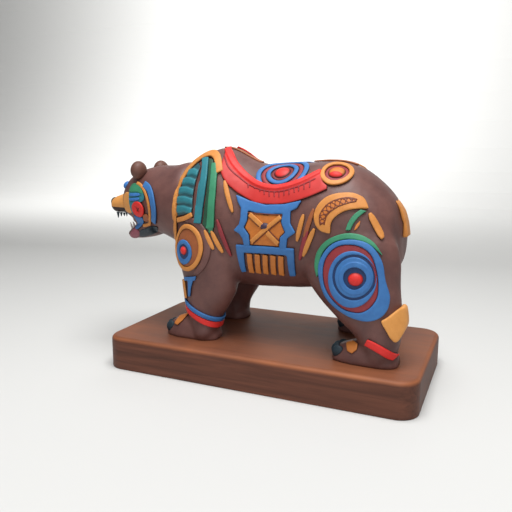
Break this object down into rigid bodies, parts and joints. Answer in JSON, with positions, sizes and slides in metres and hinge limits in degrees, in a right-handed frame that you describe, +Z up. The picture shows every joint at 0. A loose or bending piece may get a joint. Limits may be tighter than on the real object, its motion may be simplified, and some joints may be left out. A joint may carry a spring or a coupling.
{
  "type": "carved bear figure on plinth",
  "caption": "Carved walking bear with raised painted ornaments, head with open mouth, screwed to a rounded wooden plinth.",
  "frame": {"origin": "centre of the plinth's underside", "axes": "+Z up, +X along the plinth towards the rump, so the bear faces -X"},
  "size_m": [0.3437, 0.156, 0.215],
  "materials": {
    "plinth_wood": "stained and waxed, satin",
    "screw_steel": "zinc plated",
    "dowel_wood": "bare",
    "bear_brown": "painted dark brown, satin",
    "ochre_paint": "painted raised ornament, satin",
    "orange_paint": "painted raised ornament, satin",
    "red_paint": "painted raised ornament, satin",
    "deep_red_paint": "painted raised ornament, satin",
    "blue_paint": "painted raised ornament, satin",
    "sky_blue_paint": "painted, satin",
    "teal_paint": "painted raised ornament, satin",
    "green_paint": "painted raised ornament, satin",
    "blue_black_paint": "painted, satin",
    "bone_paint": "painted, satin",
    "nose_black": "painted, satin"
  },
  "bodies": {
    "root": {"ankle_band_blue": "blue_paint", "ankle_band_red": "red_paint", "belly_frame": "blue_paint", "belly_panel": "orange_paint", "cheek_roundel": "red_paint", "chest_slashes": "ochre_paint", "claws": "blue_black_paint", "collar_band": "ochre_paint", "crescent": "ochre_paint", "ear_left": "bear_brown", "ear_right": "bear_brown", "eyes": "sky_blue_paint", "face_mask": "teal_paint", "feather_blue": "teal_paint", "feather_foot": "ochre_paint", "feather_green": "green_paint", "feather_ladder": "teal_paint", "flank_slashes": "ochre_paint", "foreleg_bar": "ochre_paint", "foreleg_left": "bear_brown", "foreleg_right": "bear_brown", "foreleg_tee": "blue_paint", "gate": "blue_paint", "gate_bars": "ochre_paint", "head": "bear_brown", "head_band": "blue_paint", "head_trim": "ochre_paint", "heel_leaves": "ochre_paint", "hind_leg_left": "bear_brown", "hind_leg_right": "bear_brown", "hind_strap": "red_paint", "hip_arc": "green_paint", "hip_dome": "red_paint", "hip_red_ring": "deep_red_paint", "hip_rings": "blue_paint", "leg_dowels": "dowel_wood", "lower_teeth": "bone_paint", "muzzle": "ochre_paint", "neck_dowel": "dowel_wood", "nose": "nose_black", "plinth": "plinth_wood", "plinth_screws": "screw_steel", "red_slashes": "deep_red_paint", "rump_dome": "red_paint", "rump_ring": "ochre_paint", "rump_slash": "ochre_paint", "saddle_dome": "red_paint", "saddle_field": "deep_red_paint", "saddle_rings": "blue_paint", "saddle_swag": "red_paint", "shoulder_disc": "blue_paint", "shoulder_dome": "red_paint", "shoulder_ring": "ochre_paint", "spine_strip": "orange_paint", "stem": "green_paint", "tail": "ochre_paint", "torso": "bear_brown", "upper_teeth": "blue_black_paint"}
  },
  "joints": []
}
